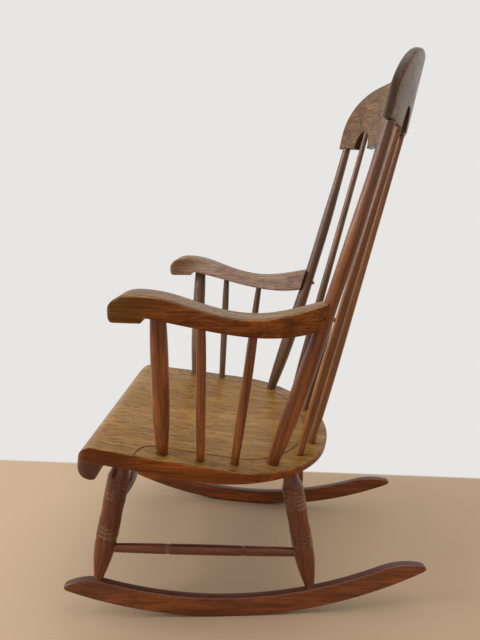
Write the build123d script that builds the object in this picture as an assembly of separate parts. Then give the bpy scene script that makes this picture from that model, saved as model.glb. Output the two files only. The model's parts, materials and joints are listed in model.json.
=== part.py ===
from build123d import *
import os
from math import cos, radians, sin, sqrt, tan

# High-backed rocking chair with arms.
# Frame: +Z up, floor at Z = 0, the sitter faces -Y, +X is the sitter's left.
# The pieces are drawn with Y = 0 where the rockers rest on the floor. The last lines move them so that
# the origin is on the floor in the middle of the chair's width and length.
# Every piece on the sitter's right is the mirror image of the one on the left.

os.makedirs("parts", exist_ok=True)

# ---------------------------------------------------------------- driving dimensions (millimetres, degrees)

# Seat plank, in its own plane: x across, y backward from the point above the rockers' contact line
seat_height = 340.3
seat_pitch = 6.9
seat_thickness = 30.0
seat_half_width = 272.0
seat_front_half_width = 258.0
seat_front_reach = 291.0
seat_rear_reach = 195.0
seat_corner_radius = 26.0
seat_top_edge_radius = 4.0

# Roll along the front edge: its upper part is worked on the plank, its lower part is a glued strip
roll_top_depth = 34.0
roll_top_height = 40.0
roll_bottom_depth = 30.0
roll_bottom_height = 24.0
roll_underside_flat = 3.0
roll_strip_depth = 52.0

# Bevel worked on the underside of the plank round its rear
bevel_start_y = -60.0
bevel_rear_reach = 168.0
bevel_width = 28.0
bevel_height = 16.0

# Dish worked in the seat's top, and the incised line round it
dish_radius = 200.0
dish_centre_y = -58.0
dish_depth = 9.0
gutter_half_width = 218.0
gutter_rear_reach = 145.0
gutter_turn_y = -150.0
gutter_exit_y = -184.0
gutter_radius = 1.7

# Rockers: boards that follow an arc, toed in towards the rear, with their sides canted outward at the floor
rocker_front_radius = 830.0
rocker_rear_radius = 850.0
rocker_depth = 39.0
rocker_thickness = 17.0
rocker_half_spacing = 214.3
rocker_toe_in = 5.9
rocker_cant = 6.0
rocker_front_reach = 331.0
rocker_rear_reach = 389.0
rocker_front_taper = 76.0
rocker_rear_taper = 92.0
rocker_tip_height = 7.0
rocker_flat_length = 64.0

# Legs: place of the foot along the rocker, and of the top under the seat
front_leg_foot_y = -264.0
rear_leg_foot_y = 154.0
front_leg_top = (194.0, -217.0)
rear_leg_top = (154.0, 104.5)
leg_neck_radius = 16.0
leg_neck_straight = 8.0
leg_ring_radius = 21.5
leg_waist_radius = 20.3
leg_bead_radius = 21.2
leg_belly_radius = 19.8
leg_foot_radius = 8.4
leg_shoulder_height = 210.0
leg_foot_taper = 50.0
leg_socket_depth = 13.0
leg_tenon_radius = 5.5
leg_tenon_length = 24.0

# Incised rings of a leg, measured up from its foot: the top one of the upper group, the lowest of the lower
upper_ring_height = 203.0
upper_ring_pitch = 8.5
upper_ring_count = 5
lower_ring_height = 93.0
lower_ring_pitch = 8.7
lower_ring_count = 3
ring_groove_radius = 1.6

# Side stretchers between the front and rear legs
stretcher_front_height = 146.0
stretcher_rear_height = 124.0
stretcher_end_radius = 8.5
stretcher_belly_radius = 10.3
stretcher_tenon_radius = 6.5
stretcher_tenon_depth = 14.0
stretcher_ring_share = 0.31
stretcher_ring_gap = 4.5

# Turned stretcher across the front legs, with a bulb on each side of its slimmer middle
front_stretcher_height = 207.0
front_stretcher_end_radius = 7.2
front_stretcher_bulb_radius = 12.9
front_stretcher_bulb_x = 62.0
front_stretcher_middle_radius = 9.6

# Arms: the underside's height at its lowest place, from which its two ends, the nose and the pad
# under the nose rise. The scroll and the rear of the upper side rise from the top above that place
arm_low_height = 590.5
arm_low_y = 52.0
arm_thickness = 33.5
arm_post_rise = 37.5
arm_rear_rise = 9.0
arm_upper_rear_rise = 21.0
arm_front_x = 292.0
arm_front_y = -204.0
arm_nose_rise = 46.0
arm_scroll_rise = 42.0
arm_slope_share = 0.42
arm_scroll_setback = 42.0
arm_pad_rise = 29.5
arm_pad_setback = 9.0
arm_pad_length = 46.0
arm_pad_slope = 6.0
arm_half_width = 33.0
arm_front_half_width = 35.0
arm_rear_half_width = 20.0
arm_corner_radius = 8.0
arm_edge_radius = 5.0
arm_cope_share = 0.7

# Arm posts and arm spindles: (x, y) of the foot on the seat and of the top under the arm
arm_post_foot = (240.0, -133.5)
arm_post_top = (294.0, -127.0)
arm_post_foot_radius = 10.0
arm_post_belly_radius = 15.7
arm_post_top_radius = 13.4
front_spindle_foot = (243.5, -62.5)
front_spindle_top = (285.0, -56.0)
rear_spindle_foot = (239.0, 0.0)
rear_spindle_top = (266.0, 31.0)
arm_spindle_foot_radius = 7.6
arm_spindle_belly_radius = 8.5
arm_spindle_top_radius = 6.8
arm_socket_depth = 16.0
seat_socket_depth = 13.0

# Crest rail: a board bent round an upright axis that leans back
crest_radius = 512.0
crest_thickness = 16.0
crest_half_angle = 31.0
crest_shoulder_height = 28.0
crest_corner_angle = 17.5
crest_corner_height = 135.0
crest_height = 142.0
crest_front_y = 292.0
crest_bottom_z = 931.0
crest_lean = 10.0
notch_half_width = 29.5
notch_height = 39.0

# Back posts and back spindles: (x, y) of the foot on the seat, place of the top round the crest rail
back_post_foot = (214.0, 70.0)
back_post_angle = 28.2
back_post_bow = 7.0
back_post_foot_radius = 10.6
back_post_belly_radius = 16.0
back_post_waist_radius = 12.6
back_post_top_radius = 8.2
back_post_tenon_radius = 5.5
back_spindle_feet = ((31.0, 164.0), (94.0, 152.0), (158.0, 124.0))
back_spindle_angles = (4.1, 12.2, 20.3)
back_spindle_foot_radius = 7.5
back_spindle_belly_radius = 9.7
back_spindle_top_radius = 5.6
crest_socket_depth = 25.0

# Pegs that hold the arms to the back posts
peg_radius = 4.0
peg_stand_out = 5.5
peg_bite = 28.0
peg_rise = 22.0

# Fit of the glued joints
glue_gap = 0.1
socket_end_gap = 0.6

# ---------------------------------------------------------------- planes and points that the pieces share

seat_plane = Plane(
    origin=(0, 0, seat_height),
    x_dir=(1, 0, 0),
    z_dir=(0, sin(radians(seat_pitch)), cos(radians(seat_pitch))),
)
seat_bottom_plane = seat_plane.offset(-seat_thickness)

crest_front_centre = Vector(0, crest_front_y, crest_bottom_z)
crest_backward = Vector(0, cos(radians(crest_lean)), -sin(radians(crest_lean)))
crest_plane = Plane(
    origin=crest_front_centre - crest_backward * crest_radius,
    x_dir=(1, 0, 0),
    z_dir=(0, sin(radians(crest_lean)), cos(radians(crest_lean))),
)

rocker_backward = Vector(-sin(radians(rocker_toe_in)), cos(radians(rocker_toe_in)), 0)
rocker_plane = Plane(
    origin=(rocker_half_spacing, 0, 0),
    x_dir=rocker_backward,
    z_dir=(cos(radians(rocker_toe_in)), sin(radians(rocker_toe_in)), 0),
)


def on_plane(plane, place):
    """Point of a sloping plane above or below the floor point (x, y)."""
    x, y = place
    normal = plane.z_dir
    fall = normal.X * (x - plane.origin.X) + normal.Y * (y - plane.origin.Y)
    return Vector(x, y, plane.origin.Z - fall / normal.Z)


def crest_point(angle, height):
    """Point in the middle of the crest rail's thickness, at an angle round it and a height up it."""
    reach = crest_radius + crest_thickness / 2
    turn = radians(angle)
    return crest_plane.from_local_coords(Vector(reach * sin(turn), reach * cos(turn), height))


def arc_rise(radius, reach):
    """Rise of an arc above its lowest point, at a distance along it."""
    return radius - sqrt(radius**2 - reach**2)


# The arcs dip below the floor by this much, and the dip is planed off to the flat that the chair rests on
rocker_dip = arc_rise(rocker_front_radius, rocker_flat_length / 2)


def rocker_top_point(y):
    """Point in the middle of the left rocker's top edge, at a distance y from the contact line."""
    reach = y / cos(radians(rocker_toe_in))
    radius = (rocker_rear_radius if y > 0 else rocker_front_radius) - rocker_depth
    height = rocker_depth - rocker_dip + arc_rise(radius, reach)
    lean_in = rocker_depth * tan(radians(rocker_cant))
    return rocker_plane.from_local_coords(Vector(reach, height, -lean_in))


def at_height(start, end, height):
    """Point of the line from start to end at a height above the floor."""
    return start + (end - start) * ((height - start.Z) / (end.Z - start.Z))


# ---------------------------------------------------------------- shared ways of making things

def closed_face(edges):
    return make_face(Curve() + edges)


def turned(start, end, runs, grooves=()):
    """Solid of revolution on the line from start towards end. Each run is a list of (distance, radius)
    points on one smooth curve or straight line, and grooves are the same kind of points."""
    edges = []
    corner = (0, runs[0][0][0])
    for run in runs:
        points = [(radius, distance) for distance, radius in run]
        if points[0] != corner:
            edges.append(Line(corner, points[0]))
        edges.append(Spline(*points) if len(points) > 2 else Line(*points))
        corner = points[-1]
    edges.append(Line(corner, (0, corner[1])))
    edges.append(Line((0, corner[1]), (0, runs[0][0][0])))
    face = closed_face(edges)
    for distance, radius in grooves:
        face -= Pos(radius, distance) * Circle(ring_groove_radius)
    blank = revolve(Plane.XZ * face, Axis.Z)
    return Plane(origin=start, z_dir=end - start) * blank


def rod(start, end, radius):
    """Round rod between two points."""
    bar = Cylinder(radius, (end - start).length, align=(Align.CENTER, Align.CENTER, Align.MIN))
    return Plane(origin=start, z_dir=end - start) * bar


def socket(mouth, tip, radius, run_out=10.0):
    """Cutter for the hole that a round end of this radius is glued into: from outside the mouth to
    just beyond the end's tip."""
    inward = (tip - mouth).normalized()
    return rod(mouth - inward * run_out, tip + inward * socket_end_gap, radius + glue_gap)


def height_on(curve, y):
    """Height of a side-view curve, drawn as (y, z), at a given y."""
    low, high = 0.0, 1.0
    rising = (curve @ 1).X > (curve @ 0).X
    for _ in range(40):
        middle = (low + high) / 2
        if ((curve @ middle).X < y) == rising:
            low = middle
        else:
            high = middle
    return (curve @ low).Y


def mirrored(shape):
    """The same piece on the sitter's right."""
    return mirror(shape, about=Plane.YZ)


# ---------------------------------------------------------------- places of the uprights

front_leg_ends = (on_plane(seat_bottom_plane, front_leg_top), rocker_top_point(front_leg_foot_y))
rear_leg_ends = (on_plane(seat_bottom_plane, rear_leg_top), rocker_top_point(rear_leg_foot_y))

back_post_start = on_plane(seat_plane, back_post_foot)
back_post_end = crest_point(back_post_angle, crest_socket_depth / 2)
back_post_middle = (back_post_start + back_post_end) / 2 + Vector(0, back_post_bow, 0)
back_post_line = ThreePointArc(back_post_start, back_post_middle, back_post_end)


def back_post_share(height):
    """Share of the back post's length at a height above the floor."""
    low, high = 0.0, 1.0
    for _ in range(40):
        middle = (low + high) / 2
        if (back_post_line @ middle).Z < height:
            low = middle
        else:
            high = middle
    return low


arm_end_point = back_post_line @ back_post_share(arm_low_height + peg_rise)

# Side view of an arm, drawn as (y, z): its upper and lower curves
arm_top_low_height = arm_low_height + arm_thickness
arm_scroll_top = (arm_front_y + arm_scroll_setback, arm_top_low_height + arm_scroll_rise)
arm_pad_front = (arm_front_y + arm_pad_setback, arm_low_height + arm_pad_rise)
arm_pad_rear = (arm_pad_front[0] + arm_pad_length, arm_pad_front[1])
arm_heading = Vector(
    rear_spindle_top[0] - arm_end_point.X, rear_spindle_top[1] - arm_end_point.Y, 0
).normalized()
arm_underside = Spline(
    (arm_pad_rear[0] + arm_pad_slope, arm_low_height + arm_post_rise),
    (front_spindle_top[1], arm_low_height + 0.5 * arm_post_rise),
    (arm_low_y, arm_low_height),
    (arm_end_point.Y, arm_low_height + arm_rear_rise),
)
arm_upper_side = Spline(
    arm_scroll_top,
    (front_spindle_top[1], arm_top_low_height + arm_slope_share * arm_scroll_rise),
    (arm_low_y - 8.0, arm_top_low_height),
    (arm_end_point.Y, arm_top_low_height + arm_upper_rear_rise),
    tangents=((1, 0), (1, 0.25)),
)


def under_arm(place):
    """Point on an arm's underside above the floor point (x, y)."""
    x, y = place
    return Vector(x, y, height_on(arm_underside, y))


# ---------------------------------------------------------------- seat

def seat_outline(rounded_front):
    """Outline of the seat in its own plane, with square or rounded front corners."""
    right_side = TangentArc(
        (seat_half_width, 0), (seat_front_half_width, -seat_front_reach), tangent=(0, -1)
    )
    left_side = mirror(right_side, about=Plane.YZ)
    front = Line(right_side @ 1, left_side @ 1)
    rear = EllipticalCenterArc((0, 0), seat_half_width, seat_rear_reach, start_angle=0, arc_size=180)
    outline = closed_face([right_side, left_side, front, rear])
    if not rounded_front:
        return outline
    corners = outline.vertices().sort_by(Axis.Y)[:2]
    return fillet(corners, seat_corner_radius)


def dish_cutter():
    """Ball that leaves a shallow round hollow in the seat's top."""
    ball_radius = (dish_radius**2 + dish_depth**2) / (2 * dish_depth)
    return Pos(0, dish_centre_y, ball_radius - dish_depth) * Sphere(ball_radius)


def gutter_cutter():
    """Round wire along the incised line: in from one side edge, round the rear, out of the other side."""
    outside = seat_half_width + 10
    swoop = Spline(
        (outside, gutter_exit_y), (gutter_half_width, gutter_turn_y), tangents=((-1, 0.1), (0, 1))
    )
    side = Line(swoop @ 1, (gutter_half_width, 0))
    rear = EllipticalCenterArc(
        (0, 0), gutter_half_width, gutter_rear_reach, start_angle=0, arc_size=180
    )
    far_side = Line((-gutter_half_width, 0), (-gutter_half_width, gutter_turn_y))
    far_swoop = Spline(
        (-gutter_half_width, gutter_turn_y), (-outside, gutter_exit_y), tangents=((0, -1), (-1, -0.1))
    )
    section = Plane(origin=swoop @ 0, z_dir=swoop % 0) * Circle(gutter_radius)
    return sweep(section, path=Wire([swoop, side, rear, far_side, far_swoop]))


def roll_curves():
    """Front of the seat in side view, drawn as (y, z): two quarter ellipses from the top to the underside."""
    nose = (-seat_front_reach, -roll_top_height)
    upper_centre = (roll_top_depth - seat_front_reach, -roll_top_height)
    lower_centre = (roll_bottom_depth - seat_front_reach, -roll_top_height)
    upper = EllipticalCenterArc(
        upper_centre, roll_top_depth, roll_top_height, start_angle=90, arc_size=90
    )
    lower = EllipticalCenterArc(
        lower_centre, roll_bottom_depth, roll_bottom_height, start_angle=180, arc_size=90
    )
    return upper, lower


def roll_limit():
    """Everything behind the rolled front, as a bar across the seat."""
    upper, lower = roll_curves()
    rear_y = seat_rear_reach * 1.5
    bottom_z = (lower @ 1).Y
    edges = [
        upper,
        lower,
        Line(lower @ 1, (rear_y, bottom_z)),
        Line((rear_y, bottom_z), (rear_y, 0)),
        Line((rear_y, 0), upper @ 0),
    ]
    return extrude(Plane.YZ * closed_face(edges), seat_half_width * 2, both=True)


def bevel_limit():
    """Flared block that leaves a bevel round the rear of the seat's underside."""

    def section(z):
        flare = (z + seat_thickness) * bevel_width / bevel_height
        half = seat_half_width + flare
        front_y = -seat_front_reach - seat_half_width
        edges = [
            Line((half, bevel_start_y), (half, front_y)),
            Line((half, front_y), (-half, front_y)),
            Line((-half, front_y), (-half, bevel_start_y)),
            EllipticalCenterArc(
                (0, bevel_start_y), half, bevel_rear_reach - bevel_start_y + flare, start_angle=0, arc_size=180
            ),
        ]
        return Pos(0, 0, z) * closed_face(edges)

    return loft([section(-seat_thickness - 1), section(1)], ruled=True)


def seat_plank():
    blank = extrude(seat_outline(rounded_front=False), -seat_thickness)
    top = blank.faces().sort_by(Axis.Z)[-1]
    behind_front = -seat_front_reach + 1
    blank = fillet([e for e in top.edges() if e.center().Y > behind_front], seat_top_edge_radius)
    blank &= bevel_limit()
    blank &= roll_limit()
    blank &= extrude(seat_outline(rounded_front=True), seat_thickness * 3, both=True)
    blank -= dish_cutter()
    blank -= gutter_cutter()
    return seat_plane * blank


def front_roll():
    """Strip under the seat's front edge: the lower part of the roll, rounded off behind."""
    front_y = -seat_front_reach
    bottom_y = front_y + roll_bottom_depth + roll_underside_flat
    bottom_z = -roll_top_height - roll_bottom_height
    rear_top = (front_y + roll_strip_depth, -seat_thickness)
    edges = [
        Line((front_y - 1, -seat_thickness), rear_top),
        Spline(rear_top, (bottom_y, bottom_z), tangents=((-0.7, -1), (-1, -0.1))),
        Line((bottom_y, bottom_z), (front_y - 1, bottom_z)),
        Line((front_y - 1, bottom_z), (front_y - 1, -seat_thickness)),
    ]
    block = extrude(Plane.YZ * closed_face(edges), seat_half_width * 2, both=True)
    strip = block & roll_limit() & extrude(seat_outline(rounded_front=True), seat_thickness * 3, both=True)
    return seat_plane * strip


# ---------------------------------------------------------------- rockers

def rocker_outline():
    """Side view of a rocker: arcs below and above, with both ends tapered to a blunt tip."""
    edges = []
    for sign, radius, reach, taper in (
        (-1, rocker_front_radius, rocker_front_reach, rocker_front_taper),
        (1, rocker_rear_radius, rocker_rear_reach, rocker_rear_taper),
    ):
        upper_radius = radius - rocker_depth
        shoulder = reach - taper
        upper_middle = (0, rocker_depth - rocker_dip)
        upper_end = (sign * shoulder, upper_middle[1] + arc_rise(upper_radius, shoulder))
        slope = shoulder / sqrt(upper_radius**2 - shoulder**2)
        tip = (sign * reach, arc_rise(radius, reach) - rocker_dip)
        blunt = (tip[0], tip[1] + rocker_tip_height)
        edges += [
            RadiusArc((0, -rocker_dip), tip, -sign * radius),
            Line(tip, blunt),
            TangentArc(upper_end, blunt, tangent=(sign, slope)),
            RadiusArc(upper_middle, upper_end, -sign * upper_radius),
        ]
    return closed_face(edges)


def rocker_slab(radius, turn):
    """Board of even thickness swept round the rocker's centre, its sides canted."""
    spare = 15.0
    slope = tan(radians(rocker_cant))
    low_z = -spare
    high_z = rocker_depth + spare
    half = rocker_thickness / 2
    corners = [
        (-half - low_z * slope, low_z),
        (half - low_z * slope, low_z),
        (half - high_z * slope, high_z),
        (-half - high_z * slope, high_z),
    ]
    across = Plane(
        origin=rocker_plane.origin,
        x_dir=rocker_plane.z_dir,
        z_dir=rocker_plane.z_dir.cross(Vector(0, 0, 1)),
    )
    centre = Axis(rocker_plane.origin + Vector(0, 0, radius), rocker_plane.z_dir)
    return revolve(across * make_face(Polyline(*corners, close=True)), centre, turn)


def rocker():
    slab = rocker_slab(rocker_front_radius, -30.0) + rocker_slab(rocker_rear_radius, 32.0)
    board = slab & extrude(rocker_plane * rocker_outline(), rocker_thickness * 2, both=True)
    across = rocker_front_reach * 3
    ground = Box(across, across, rocker_depth, align=(Align.CENTER, Align.CENTER, Align.MAX))
    return board - ground


# ---------------------------------------------------------------- legs and stretchers

def leg(ends):
    """Turned leg from its top in the seat to its foot, which is scribed to the rocker's top edge."""
    top, foot = ends
    length = (foot - top).length
    shoulder = length - leg_shoulder_height
    ring_end = length - upper_ring_height + upper_ring_pitch * upper_ring_count
    bead_top = length - lower_ring_height - lower_ring_pitch * lower_ring_count
    bead_end = length - lower_ring_height + lower_ring_pitch / 2
    waist = (ring_end + bead_top) / 2
    belly = length - leg_foot_taper * 1.15
    half_taper = length - leg_foot_taper / 2
    past_foot = length + leg_foot_radius / 2
    runs = [
        [(-leg_socket_depth, leg_neck_radius), (leg_neck_straight, leg_neck_radius)],
        [
            (leg_neck_straight, leg_neck_radius),
            (shoulder * 0.8, (2 * leg_neck_radius + leg_ring_radius) / 3),
            (shoulder, leg_ring_radius),
        ],
        [(shoulder, leg_ring_radius), (ring_end, leg_ring_radius)],
        [(ring_end, leg_ring_radius), (waist, leg_waist_radius), (bead_top, leg_bead_radius)],
        [(bead_top, leg_bead_radius), (bead_end, leg_bead_radius)],
        [
            (bead_end, leg_belly_radius),
            (belly, leg_belly_radius * 0.98),
            (half_taper, (leg_belly_radius + leg_foot_radius) / 2),
            (length, leg_foot_radius),
        ],
        [(length, leg_foot_radius), (past_foot, leg_foot_radius * 0.9)],
    ]
    top_ring = length - upper_ring_height
    low_ring = length - lower_ring_height
    upper = [(top_ring + upper_ring_pitch * i, leg_ring_radius) for i in range(upper_ring_count)]
    lower = [(low_ring - lower_ring_pitch * i, leg_bead_radius) for i in range(lower_ring_count)]
    body = turned(top, foot, runs, upper + lower)
    arc_radius = rocker_rear_radius if foot.Y > 0 else rocker_front_radius
    centre = rocker_plane.origin + Vector(0, 0, arc_radius - rocker_dip)
    half_length = rocker_plane.z_dir * (leg_foot_radius * 6)
    body &= rod(centre - half_length, centre + half_length, arc_radius - rocker_depth)
    down = (foot - top).normalized()
    return body + rod(foot - down * leg_tenon_radius, foot + down * leg_tenon_length, leg_tenon_radius)


def leg_sockets():
    """Cutters for the four leg tops in the seat."""
    cutters = []
    for top, foot in (front_leg_ends, rear_leg_ends):
        up = (top - foot).normalized()
        cutter = socket(top, top + up * leg_socket_depth, leg_neck_radius)
        cutters += [cutter, mirrored(cutter)]
    return cutters


def foot_sockets():
    """Cutters for the two leg tenons in the left rocker."""
    cutters = []
    for top, foot in (front_leg_ends, rear_leg_ends):
        down = (foot - top).normalized()
        cutters.append(socket(foot, foot + down * leg_tenon_length, leg_tenon_radius))
    return cutters


side_stretcher_ends = (
    at_height(*front_leg_ends, stretcher_front_height),
    at_height(*rear_leg_ends, stretcher_rear_height),
)
front_stretcher_left = at_height(*front_leg_ends, front_stretcher_height)
front_stretcher_ends = (front_stretcher_left, front_stretcher_left - Vector(2 * front_stretcher_left.X, 0, 0))


def stretcher_tenon(from_leg, towards, radius, inner, outer):
    """Round tenon at one end of a stretcher, between two distances from the leg's middle."""
    along = (towards - from_leg).normalized()
    return rod(from_leg + along * inner, from_leg + along * outer, radius)


def stretcher(ends, profile, grooves, legs):
    """Turned stretcher between the middles of two legs, scribed to both, with a tenon at each end."""
    start, end = ends
    body = cut(turned(start, end, [profile], grooves), legs)
    inner = leg_waist_radius - stretcher_tenon_depth
    outer = leg_waist_radius + stretcher_tenon_radius
    for point, other in ((start, end), (end, start)):
        body += stretcher_tenon(point, other, stretcher_tenon_radius, inner, outer)
    return body


def side_stretcher(front_leg, rear_leg):
    """Stretcher that is thickest midway, with a pair of rings on each side of its middle."""
    start, end = side_stretcher_ends
    length = (end - start).length
    between = (stretcher_end_radius + 2 * stretcher_belly_radius) / 3
    profile = [
        (0, stretcher_end_radius),
        (length * 0.25, between),
        (length * 0.5, stretcher_belly_radius),
        (length * 0.75, between),
        (length, stretcher_end_radius),
    ]
    grooves = []
    for share in (stretcher_ring_share, 1 - stretcher_ring_share):
        grooves.append((share * length - stretcher_ring_gap / 2, between + ring_groove_radius / 4))
        grooves.append((share * length + stretcher_ring_gap / 2, between + ring_groove_radius / 4))
    return stretcher((start, end), profile, grooves, (front_leg, rear_leg))


def front_stretcher(front_leg):
    """Stretcher across the front legs, with two bulbs."""
    start, end = front_stretcher_ends
    length = (end - start).length
    bulb = length / 2 - front_stretcher_bulb_x
    neck = bulb / 2
    neck_radius = (front_stretcher_end_radius + front_stretcher_bulb_radius) / 2 - 1.5
    profile = [
        (0, front_stretcher_end_radius),
        (neck, neck_radius),
        (bulb, front_stretcher_bulb_radius),
        (length / 2, front_stretcher_middle_radius),
        (length - bulb, front_stretcher_bulb_radius),
        (length - neck, neck_radius),
        (length, front_stretcher_end_radius),
    ]
    return stretcher((start, end), profile, (), (front_leg, mirrored(front_leg)))


def stretcher_socket(point, other):
    """Cutter for the hole in a leg that a stretcher's tenon is glued into."""
    inner = leg_waist_radius - stretcher_tenon_depth - socket_end_gap
    radius = stretcher_tenon_radius + glue_gap
    return stretcher_tenon(point, other, radius, inner, leg_waist_radius * 2)


# ---------------------------------------------------------------- uprights between the seat and the arms

def arm_upright(foot_place, top_place, foot_radius, belly_radius, top_radius, belly_share):
    """Turned upright with a straight round end in the seat and another in the arm, and the cutters for
    its two sockets."""
    foot = on_plane(seat_plane, foot_place)
    top = under_arm(top_place)
    up = (top - foot).normalized()
    length = (top - foot).length
    runs = [
        [(-seat_socket_depth, foot_radius), (0, foot_radius)],
        [
            (0, foot_radius),
            (0.12 * length, foot_radius + 0.42 * (belly_radius - foot_radius)),
            (0.3 * length, foot_radius + 0.88 * (belly_radius - foot_radius)),
            (belly_share * length, belly_radius),
            (0.85 * length, (belly_radius + top_radius) / 2 + 0.4),
            (length, top_radius),
        ],
        [(length, top_radius), (length + arm_socket_depth, top_radius)],
    ]
    body = turned(foot, top, runs)
    seat_hole = socket(foot, foot - up * seat_socket_depth, foot_radius)
    arm_hole = socket(top, top + up * arm_socket_depth, top_radius)
    return body, seat_hole, arm_hole


def arm_spindle(foot_place, top_place):
    return arm_upright(
        foot_place, top_place, arm_spindle_foot_radius, arm_spindle_belly_radius, arm_spindle_top_radius, 0.38
    )


# ---------------------------------------------------------------- arms

def arm_plan():
    """Plan of an arm, drawn as (x, y): its sides keep a width about the line over its uprights."""
    corner_y = arm_front_y + arm_corner_radius
    stations = [
        (arm_front_x, corner_y, arm_front_half_width),
        (arm_post_top[0], arm_post_top[1], arm_half_width + 1),
        (front_spindle_top[0], front_spindle_top[1], arm_half_width),
        (rear_spindle_top[0], rear_spindle_top[1], arm_half_width - 2),
        (arm_end_point.X, arm_end_point.Y, arm_rear_half_width),
    ]
    outer = Spline(*[(x + half, y) for x, y, half in stations])
    inner = Spline(*[(x - half, y) for x, y, half in stations])
    corner_offset = arm_front_half_width - arm_corner_radius
    outer_corner = CenterArc((arm_front_x + corner_offset, corner_y), arm_corner_radius, 0, -90)
    inner_corner = CenterArc((arm_front_x - corner_offset, corner_y), arm_corner_radius, -90, -90)
    front = Line(outer_corner @ 1, inner_corner @ 0)
    rear = Line(outer @ 1, inner @ 1)
    return closed_face([outer, outer_corner, front, inner_corner, inner, rear])


def arm_side():
    """Side view of an arm, drawn as (y, z), with the scroll at the front."""
    nose = (arm_front_y, arm_low_height + arm_nose_rise)
    edges = [
        arm_upper_side,
        EllipticalCenterArc(
            (arm_scroll_top[0], nose[1]), arm_scroll_setback, arm_scroll_top[1] - nose[1], start_angle=90, arc_size=90
        ),
        Spline(nose, arm_pad_front, tangents=((0, -1), (1, -0.2))),
        Line(arm_pad_front, arm_pad_rear),
        Line(arm_pad_rear, arm_underside @ 0),
        arm_underside,
        Line(arm_underside @ 1, arm_upper_side @ 1),
    ]
    return closed_face(edges)


def arm():
    """Arm blank: the side view and the plan cut out of one board, with eased edges and its end cut to
    the lean of the back post."""
    side = extrude(Plane.YZ * arm_side(), arm_front_x * 2, both=True)
    body = side & extrude(arm_plan(), arm_scroll_top[1] * 2)
    long_edges = [e for e in body.edges() if e.length > 250]
    body = fillet(long_edges, arm_edge_radius)
    post_lean = back_post_line % back_post_share(arm_end_point.Z)
    forward = (arm_heading - post_lean * arm_heading.dot(post_lean)).normalized()
    end_cut = Plane(origin=arm_end_point + forward * (back_post_waist_radius * arm_cope_share), z_dir=forward)
    return split(body, bisect_by=end_cut, keep=Keep.TOP)


# ---------------------------------------------------------------- back

def crest_rail():
    """Bent board: a ring sector of even thickness, cut by the outline seen from the ring's axis."""
    tall = crest_height * 1.5
    ring = Cylinder(crest_radius + crest_thickness, tall) - Cylinder(crest_radius, tall)
    ring = Pos(0, 0, tall / 2 - 1) * ring
    ring &= Pos(0, crest_radius, 0) * Box(crest_radius * 1.4, crest_radius, tall * 2)

    def outline(distance):
        end_x = distance * tan(radians(crest_half_angle))
        corner_x = distance * tan(radians(crest_corner_angle))
        rise = crest_corner_height - crest_shoulder_height
        crown_slope = 2 * (crest_height - crest_corner_height) / corner_x
        reach = 0.55 * (end_x - corner_x)
        corner = Bezier(
            (end_x, crest_shoulder_height),
            (end_x, crest_shoulder_height + 0.55 * rise),
            (corner_x + reach, crest_corner_height - crown_slope * reach),
            (corner_x, crest_corner_height),
        )
        crown = ThreePointArc((corner_x, crest_corner_height), (0, crest_height), (-corner_x, crest_corner_height))
        edges = [
            Line((end_x, 0), (end_x, crest_shoulder_height)),
            corner,
            crown,
            mirror(corner, about=Plane.YZ),
            Line((-end_x, crest_shoulder_height), (-end_x, 0)),
            Line((-end_x, 0), (end_x, 0)),
        ]
        return Plane(origin=(0, distance, 0), x_dir=(1, 0, 0), z_dir=(0, -1, 0)) * closed_face(edges)

    wedge = loft([outline(crest_radius * 0.7), outline(crest_radius * 1.2)], ruled=True)
    board = ring & wedge
    for angle in (back_spindle_angles[-1], -back_spindle_angles[-1]):
        turn = radians(angle)
        outward = Plane(origin=(0, 0, 0), x_dir=(cos(turn), -sin(turn), 0), z_dir=(sin(turn), cos(turn), 0))
        board -= outward * extrude(Ellipse(notch_half_width, notch_height), crest_radius * 2)
    return crest_plane * board


def back_post():
    """Back post, bent a little backward, that ends under the crest rail in a thinner tenon."""
    stations = (
        (0.0, back_post_foot_radius),
        (0.08, 0.6 * back_post_belly_radius + 0.4 * back_post_foot_radius),
        (0.18, back_post_belly_radius),
        (0.3, 0.9 * back_post_belly_radius + 0.1 * back_post_waist_radius),
        (0.45, 0.2 * back_post_belly_radius + 0.8 * back_post_waist_radius),
        (0.6, back_post_waist_radius),
        (0.75, 0.8 * back_post_waist_radius + 0.2 * back_post_top_radius),
        (0.88, 0.4 * back_post_waist_radius + 0.6 * back_post_top_radius),
        (1.0, back_post_top_radius),
    )
    sections = [
        Plane(origin=back_post_line @ share, z_dir=back_post_line % share) * Circle(radius)
        for share, radius in stations
    ]
    body = split(loft(sections), bisect_by=crest_plane, keep=Keep.BOTTOM)
    foot = back_post_line @ 0
    down = (back_post_line % 0) * -1
    body += rod(foot + down * seat_socket_depth, foot, back_post_foot_radius)
    tip = back_post_crest_tip()
    below = tip - (back_post_line % 1) * (crest_socket_depth * 1.5)
    return body + rod(below, tip, back_post_tenon_radius)


def back_post_crest_tip():
    """Top of the back post's tenon inside the crest rail."""
    return back_post_end + (back_post_line % 1) * (crest_socket_depth / 2)


def back_post_crest_socket():
    end = back_post_end
    mouth = end - (back_post_line % 1) * (crest_socket_depth * 0.6)
    return socket(mouth, back_post_crest_tip(), back_post_tenon_radius)


def back_post_seat_socket():
    foot = back_post_line @ 0
    return socket(foot, foot - (back_post_line % 0) * seat_socket_depth, back_post_foot_radius)


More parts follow.
